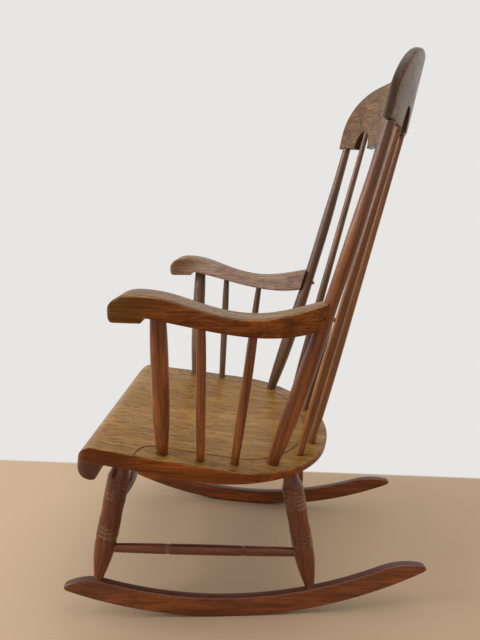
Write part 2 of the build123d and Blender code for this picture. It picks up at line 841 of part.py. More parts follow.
def back_spindle(place, angle):
    """Slim spindle from the seat into the crest rail, and the cutters for its two sockets. The outermost
    spindle of each side enters the rail at the top of its notch."""
    in_notch = angle == back_spindle_angles[-1]
    mouth_height = notch_height if in_notch else 0.0
    foot = on_plane(seat_plane, place)
    aim = crest_point(angle, mouth_height + crest_socket_depth / 2)
    up = (aim - foot).normalized()
    length = (aim - foot).length - crest_socket_depth / 2
    mouth = foot + up * length
    tip = foot + up * (length + crest_socket_depth)
    runs = [
        [(-seat_socket_depth, back_spindle_foot_radius), (0, back_spindle_foot_radius)],
        [
            (0, back_spindle_foot_radius),
            (0.2 * length, back_spindle_belly_radius),
            (0.5 * length, (2 * back_spindle_belly_radius + back_spindle_top_radius) / 3 + 0.2),
            (0.8 * length, (back_spindle_belly_radius + 2 * back_spindle_top_radius) / 3),
            (length, back_spindle_top_radius),
        ],
        [(length, back_spindle_top_radius), (length + crest_socket_depth, back_spindle_top_radius)],
    ]
    body = turned(foot, foot + up * length, runs)
    seat_hole = socket(foot, foot - up * seat_socket_depth, back_spindle_foot_radius)
    crest_hole = socket(mouth, tip, back_spindle_top_radius)
    return body, seat_hole, crest_hole


def arm_peg():
    """Peg driven from behind the back post into the arm's end, and the cutter for its hole."""
    behind = back_post_waist_radius + peg_stand_out
    head = arm_end_point - arm_heading * behind
    tip = arm_end_point + arm_heading * (back_post_waist_radius + peg_bite)
    peg = chamfer(rod(head, tip, peg_radius).edges(), 0.6)
    hole = socket(head, tip, peg_radius)
    return peg, hole


# ---------------------------------------------------------------- joining and writing the pieces

def cut(shape, cutters):
    for cutter in cutters:
        shape -= cutter
    return shape


def pair(name, left_shape):
    """The left piece and its mirror image, with their names."""
    return {name + "_left": left_shape, name + "_right": mirrored(left_shape)}


def build():
    parts = {}
    post = back_post()
    front_leg = leg(front_leg_ends)
    rear_leg = leg(rear_leg_ends)
    front_end, rear_end = side_stretcher_ends
    front_holes = [stretcher_socket(front_end, rear_end), stretcher_socket(*front_stretcher_ends)]
    parts.update(pair("stretcher", side_stretcher(front_leg, rear_leg)))
    parts["front_stretcher"] = front_stretcher(front_leg)
    parts.update(pair("leg_front", cut(front_leg, front_holes)))
    parts.update(pair("leg_rear", rear_leg - stretcher_socket(rear_end, front_end)))
    parts.update(pair("rocker", cut(rocker(), foot_sockets())))

    arm_post, *arm_post_holes = arm_upright(
        arm_post_foot,
        arm_post_top,
        arm_post_foot_radius,
        arm_post_belly_radius,
        arm_post_top_radius,
        belly_share=0.55,
    )
    front_spindle, *front_spindle_holes = arm_spindle(front_spindle_foot, front_spindle_top)
    rear_spindle, *rear_spindle_holes = arm_spindle(rear_spindle_foot, rear_spindle_top)
    parts.update(pair("arm_post", arm_post))
    parts.update(pair("arm_spindle_front", front_spindle))
    parts.update(pair("arm_spindle_rear", rear_spindle))

    peg, peg_hole = arm_peg()
    arm_holes = [arm_post_holes[1], front_spindle_holes[1], rear_spindle_holes[1], peg_hole]
    parts.update(pair("arm", cut(arm() - post, arm_holes)))
    parts.update(pair("arm_peg", peg))
    parts.update(pair("back_post", post - peg_hole))

    spindles = []
    crest_holes = [back_post_crest_socket()]
    left_holes = [arm_post_holes[0], front_spindle_holes[0], rear_spindle_holes[0], back_post_seat_socket()]
    for place, angle in zip(back_spindle_feet, back_spindle_angles):
        spindle, seat_hole, crest_hole = back_spindle(place, angle)
        spindles.append(spindle)
        left_holes.append(seat_hole)
        crest_holes.append(crest_hole)
    right_to_left = [mirrored(spindle) for spindle in reversed(spindles)] + spindles
    for number, spindle in enumerate(right_to_left, start=1):
        parts[f"back_spindle_{number}"] = spindle
    parts["crest_rail"] = cut(crest_rail(), crest_holes + [mirrored(hole) for hole in crest_holes])
    parts["seat_plank"] = cut(
        seat_plank(), left_holes + [mirrored(hole) for hole in left_holes] + leg_sockets()
    )
    parts["front_roll"] = front_roll()
    return parts


parts = build()
# The rockers reach furthest to the front and rear, so the origin goes midway between their tips
middle_y = parts["rocker_left"].bounding_box().center().Y
for node, shape in parts.items():
    placed = Pos(0, -middle_y, 0) * shape
    placed.label = node
    export_step(placed, f"parts/{node}.step")
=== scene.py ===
"""Looks of a stained oak rocking chair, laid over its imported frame. Everything is in metres."""

import json
import math

import bmesh
import bpy
from mathutils import Matrix, Vector
from mathutils.geometry import delaunay_2d_cdt

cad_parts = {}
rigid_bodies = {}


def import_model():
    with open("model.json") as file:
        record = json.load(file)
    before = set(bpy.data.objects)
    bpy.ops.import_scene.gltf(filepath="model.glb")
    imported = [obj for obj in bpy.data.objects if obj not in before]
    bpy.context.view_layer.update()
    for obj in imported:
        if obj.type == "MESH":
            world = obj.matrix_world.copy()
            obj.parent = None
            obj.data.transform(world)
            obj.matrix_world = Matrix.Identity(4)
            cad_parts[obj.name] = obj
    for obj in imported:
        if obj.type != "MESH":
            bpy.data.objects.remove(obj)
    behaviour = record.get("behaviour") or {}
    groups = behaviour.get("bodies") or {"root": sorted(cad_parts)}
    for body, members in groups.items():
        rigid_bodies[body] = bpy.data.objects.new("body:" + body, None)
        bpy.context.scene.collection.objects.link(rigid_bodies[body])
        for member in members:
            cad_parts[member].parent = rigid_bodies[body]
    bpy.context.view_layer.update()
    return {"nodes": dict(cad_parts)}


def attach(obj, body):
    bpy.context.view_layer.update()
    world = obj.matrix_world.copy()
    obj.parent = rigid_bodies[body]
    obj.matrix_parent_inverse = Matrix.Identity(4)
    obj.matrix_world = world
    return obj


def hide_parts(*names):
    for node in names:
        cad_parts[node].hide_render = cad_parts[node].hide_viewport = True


# Camera: where it stands and where its axes point, for a 480 x 640 picture.
camera_place = (1.1720, 0.0195, 0.8130)
camera_right = (-0.04920, 0.99866, 0.01612)
camera_up = (-0.21042, -0.02615, 0.97726)
camera_lens = 30.94
camera_sensor = 36.0

# Stains: the light, middle and dark tone of each. Hands and sun have worn the tops of the arms. The
# upper parts and the right side take a painted grey sheen, and the right arm a pale painted glare.
seat_stain = ("#b0823c", "#966b2c", "#4c2d10")
seat_side_stain = ("#ae5d24", "#8a4616", "#4e250c")
frame_stain = ("#9a4c1a", "#683011", "#3a1908")
rocker_stain = ("#a8551d", "#723711", "#421e09")
arm_stain = ("#b86628", "#7f4115", "#48230b")
arm_top_stain = ("#94682c", "#704918", "#44280c")
# Painted grey sheen, for the upper and right-side parts.
sheen_grey_stain = ("#936743", "#63422a", "#392213")
# Painted glare: the right arm's pale grey tones stand in for the window light it reflects.
glare_pale_stain = ("#d6baa6", "#b2978a", "#705649")
spindle_stain = ("#b8783c", "#8a5126", "#482511")
# The crest rail's grey-brown is its stain, lightened by a painted sheen.
crest_stain_and_sheen = ("#9a7552", "#78573b", "#2c1a0c")
roll_stain = ("#6a3113", "#4e220b", "#2c1206")
pore_brown = "#200f06"
# Colour of the pale edges: bare oak, as wear and as painted highlight.
bare_oak_and_highlight = "#c9a06c"
# Colour of the painted shade, with some dirt, in grooves and joints.
grime_and_shade = "#180b05"

# These stains take on a painted grey sheen with height: none below the first height, and the share above the
# second.
sheened_stains = (frame_stain, arm_stain)
sheen_heights = (0.45, 1.0)
sheen_share = 0.7

# Growth rings: how far apart they lie, how they wander (scale along and across the grain, detail, width),
# where in a ring it is darkest and where the dark ends, and the share of pores left between them.
ring_spacing = 0.006
slow_wander = (1.4, 12, 3, 0.020)
quick_wander = (5, 60, 2, 0.002)
ring_darkest = 0.22
ring_dark_end = 0.95
pores_between_rings = 0.25

# Layers of noise: scale along and across the grain, detail, roughness, and the two levels between which
# a layer goes from 0 to 1.
streak_layer = (1.6, 70, 4, 0.6, 0.34, 0.66)
line_layer = (2.2, 260, 3, 0.6, 0.54, 0.61)
fibre_layer = (26, 270, 4, 0.7, 0.36, 0.68)
pore_layer = (70, 1500, 2, 0.5, 0.56, 0.66)
blotch_layer = (6, 16, 4, 0.6, 0.30, 0.70)
scuff_layer = (22, 60, 4, 0.7, 0.40, 0.60)

# How strongly each figure darkens the stain, and how deep it lies in the bump. The lines' share is each
# look's own value "lined", and is stronger on tops.
blotch_share = 0.30
ring_share = 0.20
fibre_share = 0.30
pore_share = 0.60
rim_share = 0.85
# The next share darkens grooves and joints: painted shade, with some dirt.
grime_and_shade_share = 0.85
top_line_gain = 1.3
line_depth = 0.30
fibre_depth = 0.20
pore_depth = 0.55
bump_strength = 0.4
bump_distance = 0.0006

# Polish: roughness of the plain wood, and what each of these adds to it.
wood_roughness = 0.26
blotch_roughness = 0.10
pore_roughness = 0.20
wear_roughness = 0.30
grime_roughness = 0.25
coat_share = 0.2
coat_roughness = 0.2
pale_edge_radius = 0.004
soft_samples = 6

# Where each mask begins and where it is full: the cosine of an edge's bend, how open a groove is, how far
# a top looks up, how evenly an upper edge looks up and sideways, and the share of a front's reach.
edge_mask = (0.995, 0.80)
crevice_mask = (0.85, 0.35)
top_mask = (0.45, 0.80)
upper_edge_mask = (0.82, 1.0)
front_mask = (1.0, 0.15)

# Looks of the pieces. along is the grain's direction and pith how far the middle of the tree lies to
# its sides. front is a stain that covers a share of the front end, as (stain, y of the end, reach,
# share), and top the stain of surfaces that look up. The edges' paling is how far they go toward bare
# oak, partly as wear and partly as painted highlight, and shut the reach of the painted shade and dirt
# in grooves and joints. A look says what differs from the common one.
common_look = {"front": None, "top": None, "lined": 0.45, "edge_paling": 0.35, "shine": 0.45, "shut": 0.006}
seat_look = {
    "along": (0, 1, 0),
    "pith": (0.62, 0.05),
    "tones": seat_side_stain,
    "front": (roll_stain, -0.268, 0.11, 0.7),
    "top": seat_stain,
    "lined": 0.62,
    "edge_paling": 0.15,
    "shine": 0.14,
}
arm_look = {
    "along": (0, 1, 0),
    "pith": (0.5, 0.31),
    "tones": arm_stain,
    "front": (arm_top_stain, -0.2328, 0.11, 0.75),
    "top": arm_top_stain,
    "edge_paling": 0.55,
    "shine": 0.12,
}
roll_look = {"along": (1, 0, 0), "pith": (0.3, 0.11), "tones": roll_stain}
rocker_look = {"along": (0, 1, 0), "pith": (0.5, 0.31), "tones": rocker_stain}
crest_look = {
    "along": (1, 0, 0),
    "pith": (0.03, 0.5),
    "tones": crest_stain_and_sheen,
    "lined": 0.6,
    "shine": 0.16,
    # Its wide reach darkens the notches with painted shade.
    "shut": 0.03,
}
board_looks = {
    "seat_plank": seat_look,
    "front_roll": roll_look,
    "arm_left": arm_look,
    # The right arm's pale tones are painted glare.
    "arm_right": {**arm_look, "tones": glare_pale_stain},
    "rocker_left": rocker_look,
    "rocker_right": rocker_look,
    "crest_rail": crest_look,
}

# Turned pieces: the edges of their ring grooves go pale, partly as wear and partly as painted highlight,
# and the painted shade and dirt reach little into them. The left half of the back spindles takes a lighter
# tan stain, the right half the painted grey sheen.
turned_look = {"pith": (0.26, 0.15), "edge_paling": 0.75, "shut": 0.002}
left_spindles = ("back_spindle_4", "back_spindle_5", "back_spindle_6")

# How far apart along one tree the pieces are cut.
cut_step = 0.37

# Crest rail, as the part has it: a bent board seen from the middle of its bend. Its top edge is rounded
# more than its lower edge.
crest_radius = 0.512
crest_thickness = 0.016
crest_half_angle = math.radians(31.0)
crest_corner_angle = math.radians(17.5)
crest_shoulder_height = 0.028
crest_corner_height = 0.135
crest_height = 0.142
crest_corner_fullness = 0.55
crest_lean = math.radians(10.0)
crest_front_y = 0.2632
crest_bottom_z = 0.931
notch_angle = math.radians(20.3)
notch_half_width = 0.0295
notch_height = 0.039
crest_top_round = 0.0055
crest_low_round = 0.002

# Rockers, as the part has them: two arcs, front and rear, tapered to blunt tips.
rocker_radii = (0.830, 0.850)
rocker_reaches = (0.331, 0.389)
rocker_tapers = (0.076, 0.092)
rocker_depth = 0.039
rocker_thickness = 0.017
rocker_half_spacing = 0.2143
rocker_contact_y = -0.0288
rocker_toe_in = math.radians(5.9)
rocker_cant = math.radians(6.0)
rocker_tip_height = 0.007
rocker_flat = 0.064
rocker_round = 0.003

# The rockers' rounded ends: their length, and the fullness of the curve above and below.
rocker_nose_length = 0.009
nose_fullness_above = 2.2
nose_fullness_below = 1.4

# How finely the boards are drawn.
round_steps = 5
curve_steps = 14
arc_steps = 10
shoulder_steps = 4
crown_steps = 8
notch_steps = 16
rocker_low_steps = 30
rocker_top_steps = 20
cap_spacing = 0.008
cap_merging = 1e-7
least_corner_cosine = 0.5
sharp_angle = math.radians(40)

# Room: the floor turns into the white wall over a narrow band. Its cloud is noise, as the layers are.
wall_white = "#e7e6e4"
floor_beige = "#bda283"
floor_shade = "#a5845c"
floor_shade_share = 0.25
floor_cloud = (1.5, 3.0, 3)
floor_roughness = 0.65
floor_shine = 0.3
wall_x = -0.391
wall_band = 0.012
floor_reach = 9.0

# Light of the room: its strength rises from the first direction, by its x, to the second.
daylight = (0.98, 0.98, 1.0, 1.0)
daylight_from = 0.5
daylight_to = -0.8
daylight_least = 0.35
daylight_most = 0.85

# Lamps: place, point aimed at, width and height, watts and colour.
window_lamp = ((0.6, -2.6, 2.1), (0, 0, 0.5), (2.2, 1.8), 70, (0.93, 0.96, 1.0))
ceiling_lamp = ((0.3, 0.4, 3.0), (0, 0, 0), (2.5, 2.5), 35, (1.0, 0.98, 0.95))


def linear(code):
    """A #rrggbb colour as linear RGBA."""
    shares = [int(code[i : i + 2], 16) / 255 for i in (1, 3, 5)]
    straight = [s / 12.92 if s <= 0.04045 else ((s + 0.055) / 1.055) ** 2.4 for s in shares]
    return (*straight, 1.0)


def set_or_join(tree, socket, value):
    """Joins a socket to another one, or sets its value."""
    if isinstance(value, bpy.types.NodeSocket):
        tree.links.new(value, socket)
    else:
        socket.default_value = value


def node(tree, kind, inputs=None, **settings):
    """Adds one shader node; an input is a socket to join or a value to set."""
    made = tree.nodes.new("ShaderNode" + kind)
    for name, value in settings.items():
        setattr(made, name, value)
    for key, value in (inputs or {}).items():
        set_or_join(tree, made.inputs[key], value)
    return made


def maths(tree, operation, *values, clamp=False):
    """The result of one sum on numbers or sockets."""
    return node(tree, "Math", dict(enumerate(values)), operation=operation, use_clamp=clamp).outputs[0]


def spread(tree, value, low, high, to_low=0.0, to_high=1.0):
    """Maps low..high smoothly to to_low..to_high and holds it there."""
    inputs = {0: value, 1: low, 2: high, 3: to_low, 4: to_high}
    return node(tree, "MapRange", inputs, interpolation_type="SMOOTHSTEP", clamp=True).outputs[0]


def mixed(tree, share, first, second):
    """The first colour, with a share of the second over it."""
    made = node(tree, "Mix", data_type="RGBA", clamp_factor=True)
    for index, value in ((0, share), (6, first), (7, second)):
        set_or_join(tree, made.inputs[index], value)
    return made.outputs[2]


def overlaid(tree, layer, strength, first, second):
    """The first colour, with the second over it where a layer shows."""
    return mixed(tree, maths(tree, "MULTIPLY", layer, strength), first, second)


def split_up(tree, vector):
    """The X, Y and Z of a vector."""
    return node(tree, "SeparateXYZ", {0: vector}).outputs


def noise(tree, vector, along, across, detail, roughness=0.5):
    """Noise whose scale differs along X and across it."""
    inputs = {0: vector, 1: (along, across, across)}
    stretched = node(tree, "VectorMath", inputs, operation="MULTIPLY").outputs[0]
    inputs = {"Vector": stretched, "Scale": 1.0, "Detail": detail, "Roughness": roughness}
    return node(tree, "TexNoise", inputs).outputs[0]


def layer(tree, vector, along, across, detail, roughness, low, high):
    """Noise made into a layer that is 0 below one level and 1 above another."""
    return spread(tree, noise(tree, vector, along, across, detail, roughness), low, high)


def wander(tree, vector, along, across, detail, width):
    """Noise that strays to both sides of zero, within a width."""
    wave = noise(tree, vector, along, across, detail)
    return maths(tree, "MULTIPLY_ADD", wave, width, -width / 2)


def growth_rings(tree, vector, spacing):
    """Rings round the X axis, each dark near its start and fading out toward the next."""
    parts = split_up(tree, vector)
    squares = [maths(tree, "POWER", parts[axis], 2.0) for axis in ("Y", "Z")]
    radius = maths(tree, "SQRT", maths(tree, "ADD", *squares))
    for wandering in (slow_wander, quick_wander):
        radius = maths(tree, "ADD", radius, wander(tree, vector, *wandering))
    turn = maths(tree, "FRACT", maths(tree, "DIVIDE", radius, spacing))
    early = spread(tree, turn, 0.0, ring_darkest)
    late = spread(tree, turn, ring_darkest, ring_dark_end, 1.0, 0.0)
    return maths(tree, "MULTIPLY", early, late)


def oak_figure():
    """Grain that runs along X: soft growth rings, slow streaks, thin lines, fibres and open pores, each
    an output from 0 to 1."""
    tree = bpy.data.node_groups.new("oak_figure", "ShaderNodeTree")
    tree.interface.new_socket("Vector", in_out="INPUT", socket_type="NodeSocketVector")
    tree.interface.new_socket("Spacing", in_out="INPUT", socket_type="NodeSocketFloat")
    for name in ("Rings", "Streaks", "Lines", "Fibres", "Pores"):
        tree.interface.new_socket(name, in_out="OUTPUT", socket_type="NodeSocketFloat")
    given = tree.nodes.new("NodeGroupInput").outputs
    result = tree.nodes.new("NodeGroupOutput").inputs
    vector = given["Vector"]
    rings = growth_rings(tree, vector, given["Spacing"])
    tree.links.new(rings, result["Rings"])
    tree.links.new(layer(tree, vector, *streak_layer), result["Streaks"])
    tree.links.new(layer(tree, vector, *line_layer), result["Lines"])
    tree.links.new(layer(tree, vector, *fibre_layer), result["Fibres"])
    open_share = maths(tree, "MULTIPLY_ADD", rings, 1 - pores_between_rings, pores_between_rings)
    pores = maths(tree, "MULTIPLY", layer(tree, vector, *pore_layer), open_share)
    tree.links.new(pores, result["Pores"])
    return tree


def rounding(tree):
    """How far a point lies on an outside edge: 0 on a flat, 1 on the edge."""
    soft = node(tree, "Bevel", {"Radius": pale_edge_radius}, samples=soft_samples).outputs[0]
    true = node(tree, "NewGeometry").outputs["Normal"]
    level = node(tree, "VectorMath", {0: soft, 1: true}, operation="DOT_PRODUCT").outputs["Value"]
    return spread(tree, level, *edge_mask)


def crevice(tree, distance):
    """How shut in a point is: 0 in the open, 1 deep in a groove or a joint."""
    open_share = node(tree, "AmbientOcclusion", {"Distance": distance}, samples=soft_samples).outputs["AO"]
    return spread(tree, open_share, *crevice_mask)


def toward_front(tree, place, front_y, reach):
    """1 at a piece's front end, and 0 from a reach behind it on."""
    begins, full = (front_y + reach * share for share in front_mask)
    return spread(tree, split_up(tree, place)["Y"], begins, full)


def upward(tree):
    """1 where the surface looks up, 0 on sides and undersides."""
    facing = node(tree, "TexCoord").outputs["Normal"]
    return spread(tree, split_up(tree, facing)["Z"], *top_mask)


def upper_edge_wear_and_highlight(tree):
    """1 along the middle of a rounded edge between a top and a side, which goes pale there: partly rubbed,
    partly painted highlight.
    """
    facing = split_up(tree, node(tree, "TexCoord").outputs["Normal"])
    sideways = maths(tree, "ABSOLUTE", facing["X"])
    both = maths(tree, "MULTIPLY", maths(tree, "MULTIPLY", sideways, facing["Z"]), 2.0)
    return spread(tree, both, *upper_edge_mask)


def grain_turn(along):
    """The rotation that lays the direction along the grain onto X."""
    return Vector(along).normalized().rotation_difference(Vector((1, 0, 0))).to_euler()


def stained(tree, grain, blotch, tones, lined):
    """Colour of oak under a stain of three tones. lined is how strongly its lines show."""
    light, middle, dark = (linear(tone) for tone in tones)
    colour = mixed(tree, grain["Streaks"], middle, light)
    colour = overlaid(tree, blotch, blotch_share, colour, dark)
    colour = overlaid(tree, grain["Rings"], ring_share, colour, dark)
    colour = overlaid(tree, grain["Lines"], lined, colour, dark)
    colour = overlaid(tree, grain["Fibres"], fibre_share, colour, dark)
    colour = overlaid(tree, grain["Pores"], pore_share, colour, linear(pore_brown))
    rim = node(tree, "Attribute", attribute_name="rim").outputs["Fac"]
    return overlaid(tree, rim, rim_share, colour, dark)


def stained_piece(tree, place, grain, blotch, look):
    """Colour of a whole piece before its pale edges and darkened grooves: its stain, and others at its
    front end, a painted grey sheen high up, and on its top."""
    tones, lined = look["tones"], look["lined"]
    colour = stained(tree, grain, blotch, tones, lined)
    if look["front"]:
        front_tones, front_y, reach, share = look["front"]
        there = toward_front(tree, place, front_y, reach)
        colour = overlaid(tree, there, share, colour, stained(tree, grain, blotch, front_tones, lined))
    # A painted grey sheen that grows with height.
    if tones in sheened_stains:
        painted_sheen = spread(tree, split_up(tree, place)["Z"], *sheen_heights, 0.0, sheen_share)
        colour = mixed(tree, painted_sheen, colour, stained(tree, grain, blotch, sheen_grey_stain, lined))
    if look["top"]:
        top_colour = stained(tree, grain, blotch, look["top"], lined * top_line_gain)
        colour = mixed(tree, upward(tree), colour, top_colour)
    return colour


def edge_wear_and_highlight(tree, laid, look):
    """How far the outside edges go pale toward bare oak, in scuffs: rubbed off, and on ring grooves and
    upper edges also painted highlight.
    """
    edge = rounding(tree)
    if look["top"]:
        edge = maths(tree, "MAXIMUM", edge, upper_edge_wear_and_highlight(tree))
    scuffed = maths(tree, "MULTIPLY", edge, layer(tree, laid, *scuff_layer))
    return maths(tree, "MULTIPLY", scuffed, look["edge_paling"])


def polish(tree, grain, blotch, wear_and_highlight, dirt_and_shade):
    """Roughness of the polished wood."""
    rough = maths(tree, "MULTIPLY_ADD", blotch, blotch_roughness, wood_roughness)
    rough = maths(tree, "MULTIPLY_ADD", grain["Pores"], pore_roughness, rough)
    rough = maths(tree, "MULTIPLY_ADD", wear_and_highlight, wear_roughness, rough)
    return maths(tree, "MULTIPLY_ADD", dirt_and_shade, grime_roughness, rough, clamp=True)


def open_grain(tree, grain):
    """Normal of wood whose lines, fibres and pores lie below the polish."""
    height = maths(tree, "MULTIPLY", grain["Lines"], -line_depth)
    height = maths(tree, "MULTIPLY_ADD", grain["Pores"], -pore_depth, height)
    height = maths(tree, "MULTIPLY_ADD", grain["Fibres"], -fibre_depth, height)
    inputs = {"Height": height, "Strength": bump_strength, "Distance": bump_distance}
    return node(tree, "Bump", inputs).outputs[0]


def oak(name, figure, look, cut_at):
    """Stained, polished oak of one look, cut at a distance along the tree."""
    made = bpy.data.materials.new(name)
    made.use_nodes = True
    tree = made.node_tree
    place = node(tree, "TexCoord").outputs["Object"]
    turning = {"Vector": place, "Rotation": grain_turn(look["along"]), "Location": (cut_at, *look["pith"])}
    laid = node(tree, "Mapping", turning).outputs[0]
    grain = node(tree, "Group", {"Vector": laid, "Spacing": ring_spacing}, node_tree=figure).outputs
    blotch = layer(tree, laid, *blotch_layer)
    wear_and_highlight = edge_wear_and_highlight(tree, laid, look)
    # Painted shade with some dirt: grooves and joints darkened by ambient occlusion.
    dirt_and_shade = crevice(tree, look["shut"])
    # Edges go pale toward bare oak: wear, and painted highlight on ring grooves and upper edges.
    colour = mixed(tree, wear_and_highlight, stained_piece(tree, place, grain, blotch, look), linear(bare_oak_and_highlight))
    shader = tree.nodes["Principled BSDF"].inputs
    tree.links.new(overlaid(tree, dirt_and_shade, grime_and_shade_share, colour, linear(grime_and_shade)), shader["Base Color"])
    tree.links.new(polish(tree, grain, blotch, wear_and_highlight, dirt_and_shade), shader["Roughness"])
    tree.links.new(open_grain(tree, grain), shader["Normal"])
    shader["Specular IOR Level"].default_value = look["shine"]
    shader["Coat Weight"].default_value = look["shine"] * coat_share
    shader["Coat Roughness"].default_value = coat_roughness
    return made


def long_way(name):
    """The direction from a leaning rod's lowest point to its highest."""
    points = [v.co for v in frame["nodes"][name].data.vertices]
    return max(points, key=lambda p: p.z) - min(points, key=lambda p: p.z)


def dress(name, material):
    """Gives a node of the frame its material."""
    mesh = frame["nodes"][name].data
    mesh.materials.clear()
    mesh.materials.append(material)


def turned_stain(name):
    """The stain of a turned piece, by where it sits."""
    # Right-side posts and spindles take the painted grey sheen.
    if name.startswith("back_spindle"):
        return spindle_stain if name in left_spindles else sheen_grey_stain
    if not name.startswith(("arm_", "back_post")):
        return frame_stain
    return sheen_grey_stain if name.endswith("right") else arm_stain


def look_of(name):
    """The look of a node: a board's own, or that of a turned piece."""
    turned = {**turned_look, "along": long_way(name), "tones": turned_stain(name)}
    return {**common_look, **board_looks.get(name, turned)}


def dress_all(figure):
    """Each node gets oak of its own, cut from another place along the tree."""
    for index, name in enumerate(sorted(frame["nodes"])):
        dress(name, oak("oak_" + name, figure, look_of(name), cut_step * index))


def inward(points):
    """For each corner of an anticlockwise outline, the step that moves it in by one unit of depth."""
    steps = []
    for index, here in enumerate(points):
        before = (here - points[index - 1]).normalized()
        after = (points[(index + 1) % len(points)] - here).normalized()
        middle = (before + after).normalized()
        steps.append(Vector((-middle.y, middle.x)) / max(least_corner_cosine, middle.dot(after)))
    return steps


def edge_levels():
    """The levels of a rounded edge, from the front face to the back face. Each says how many steps it is
    from its face, and whether that is the back face."""
    front = [(step, False) for step in range(round_steps + 1)]
    back = [(step, True) for step in reversed(range(round_steps + 1))]
    return front + back


def edge_rings(outline, thickness):
    """A ring of (flat point, depth) for each level of a board's rounded edge."""
    points = [Vector((u, v)) for u, v, _ in outline]
    radii = [radius for _, _, radius in outline]
    inner = inward(points)
    rings = []
    for step, at_back in edge_levels():
        turn = math.pi / 2 * step / round_steps
        ring = []
        for point, radius, inside in zip(points, radii, inner):
            depth = radius * (1 - math.cos(turn))
            flat = point + inside * radius * (1 - math.sin(turn))
            ring.append((flat, thickness - depth if at_back else depth))
        rings.append(ring)
    return rings


def edge_faces(levels, count):
    """The faces between one ring of points and the next."""
    faces = []
    for level in range(levels - 1):
        a, b = level * count, (level + 1) * count
        for index in range(count):
            after = (index + 1) % count
            faces.append((a + index, a + after, b + after, b + index))
    return faces


def filling(ring):
    """Fills a flat outline: its points, their triangles, and the given points that each point stands for."""
    low_u, high_u = min(p.x for p in ring), max(p.x for p in ring)
    low_v, high_v = min(p.y for p in ring), max(p.y for p in ring)
    inside = []
    for i in range(1, int((high_u - low_u) / cap_spacing)):
        for j in range(1, int((high_v - low_v) / cap_spacing)):
            inside.append(Vector((low_u + i * cap_spacing, low_v + j * cap_spacing)))
    outline = [list(range(len(ring)))]
    inside_only = 1
    made = delaunay_2d_cdt(ring + inside, [], outline, inside_only, cap_merging)
    flat, _, faces, origins, _, _ = made
    return flat, faces, origins


def add_cap(verts, faces, ring, first_vert, depth, place):
    """Closes a board at one face, whose ring's points begin at first_vert."""
    flat, triangles, origins = filling([spot for spot, _ in ring])
    known = {}
    for index, spot in enumerate(flat):
        first = origins[index][0] if origins[index] else len(ring)
        if first < len(ring):
            known[index] = first_vert + first
        else:
            known[index] = len(verts)
            verts.append(place(spot.x, spot.y, depth))
    for corners in triangles:
        order = corners if first_vert else corners[::-1]
        faces.append(tuple(known[corner] for corner in order))


def added(name, data):
    """A new object in the scene."""
    made = bpy.data.objects.new(name, data)
    bpy.context.collection.objects.link(made)
    return made


def smoothed(mesh):
    """Turns all faces outward and shades them smooth up to the sharp edges."""
    turned = bmesh.new()
    turned.from_mesh(mesh)
    bmesh.ops.recalc_face_normals(turned, faces=turned.faces)
    turned.to_mesh(mesh)
    turned.free()
    mesh.shade_smooth()
    mesh.set_sharp_from_angle(angle=sharp_angle)


def rounded_board(name, outline, thickness, place):
    """Board with rounded edges. outline holds (u, v, edge radius), anticlockwise; place(u, v, depth) is
    the point in the frame. Its attribute rim is 0 on the faces and 1 on the edge."""
    rings = edge_rings(outline, thickness)
    count = len(outline)
    verts = [place(flat.x, flat.y, depth) for ring in rings for flat, depth in ring]
    rims = [step / round_steps for step, _ in edge_levels() for _ in outline]
    faces = edge_faces(len(rings), count)
    add_cap(verts, faces, rings[0], 0, 0.0, place)
    add_cap(verts, faces, rings[-1], (len(rings) - 1) * count, thickness, place)
    rims += [0.0] * (len(verts) - len(rims))
    mesh = bpy.data.meshes.new(name)
    mesh.from_pydata(verts, [], faces)
    mesh.attributes.new("rim", "FLOAT", "POINT").data.foreach_set("value", rims)
    smoothed(mesh)
    return added(name, mesh)


def smooth_run(*handles):
    """Points on the cubic curve with these four handles, without its last point."""
    run = []
    for index in range(curve_steps):
        t = index / curve_steps
        s = 1 - t
        weights = (s**3, 3 * s * s * t, 3 * s * t * t, t**3)
        run.append(tuple(sum(w * p[k] for w, p in zip(weights, handles)) for k in (0, 1)))
    return run


def crest_side():
    """Left half of the crest rail's upper outline, as seen from the middle of the bend: up from the lower
    corner, round the shoulder and over the crown to its middle."""
    end_x = crest_radius * math.tan(crest_half_angle)
    corner_x = crest_radius * math.tan(crest_corner_angle)
    rise = crest_corner_height - crest_shoulder_height
    crown = crest_height - crest_corner_height
    reach = crest_corner_fullness * (end_x - corner_x)
    slope = 2 * crown / corner_x
    straight = [(end_x, crest_shoulder_height * k / shoulder_steps) for k in range(shoulder_steps)]
    shoulder = smooth_run(
        (end_x, crest_shoulder_height),
        (end_x, crest_shoulder_height + crest_corner_fullness * rise),
        (corner_x + reach, crest_corner_height - slope * reach),
        (corner_x, crest_corner_height),
    )
    left = [1 - k / crown_steps for k in range(crown_steps + 1)]
    top = [(corner_x * share, crest_height - crown * share**2) for share in left]
    return straight + shoulder + top


def crest_notch(centre):
    """An arched notch in the crest rail's lower edge, in the direction of u."""
    bend = crest_radius + crest_thickness / 2
    run = []
    for k in range(notch_steps + 1):
        turn = math.pi * (1 - k / notch_steps)
        across = bend * math.asin(notch_half_width * math.cos(turn) / bend)
        run.append((centre + across, notch_height * math.sin(turn), crest_low_round))
    return run


def crest_outline():
    """Outline of the crest rail, u along its bend and v up it, from the left end's lower corner."""
    bend = crest_radius + crest_thickness / 2
    half = [(bend * math.atan2(x, crest_radius), v, crest_top_round) for x, v in crest_side()]
    other_half = [(-u, v, r) for u, v, r in reversed(half[:-1])]
    middle = bend * notch_angle
    return half + other_half + crest_notch(-middle) + crest_notch(middle)


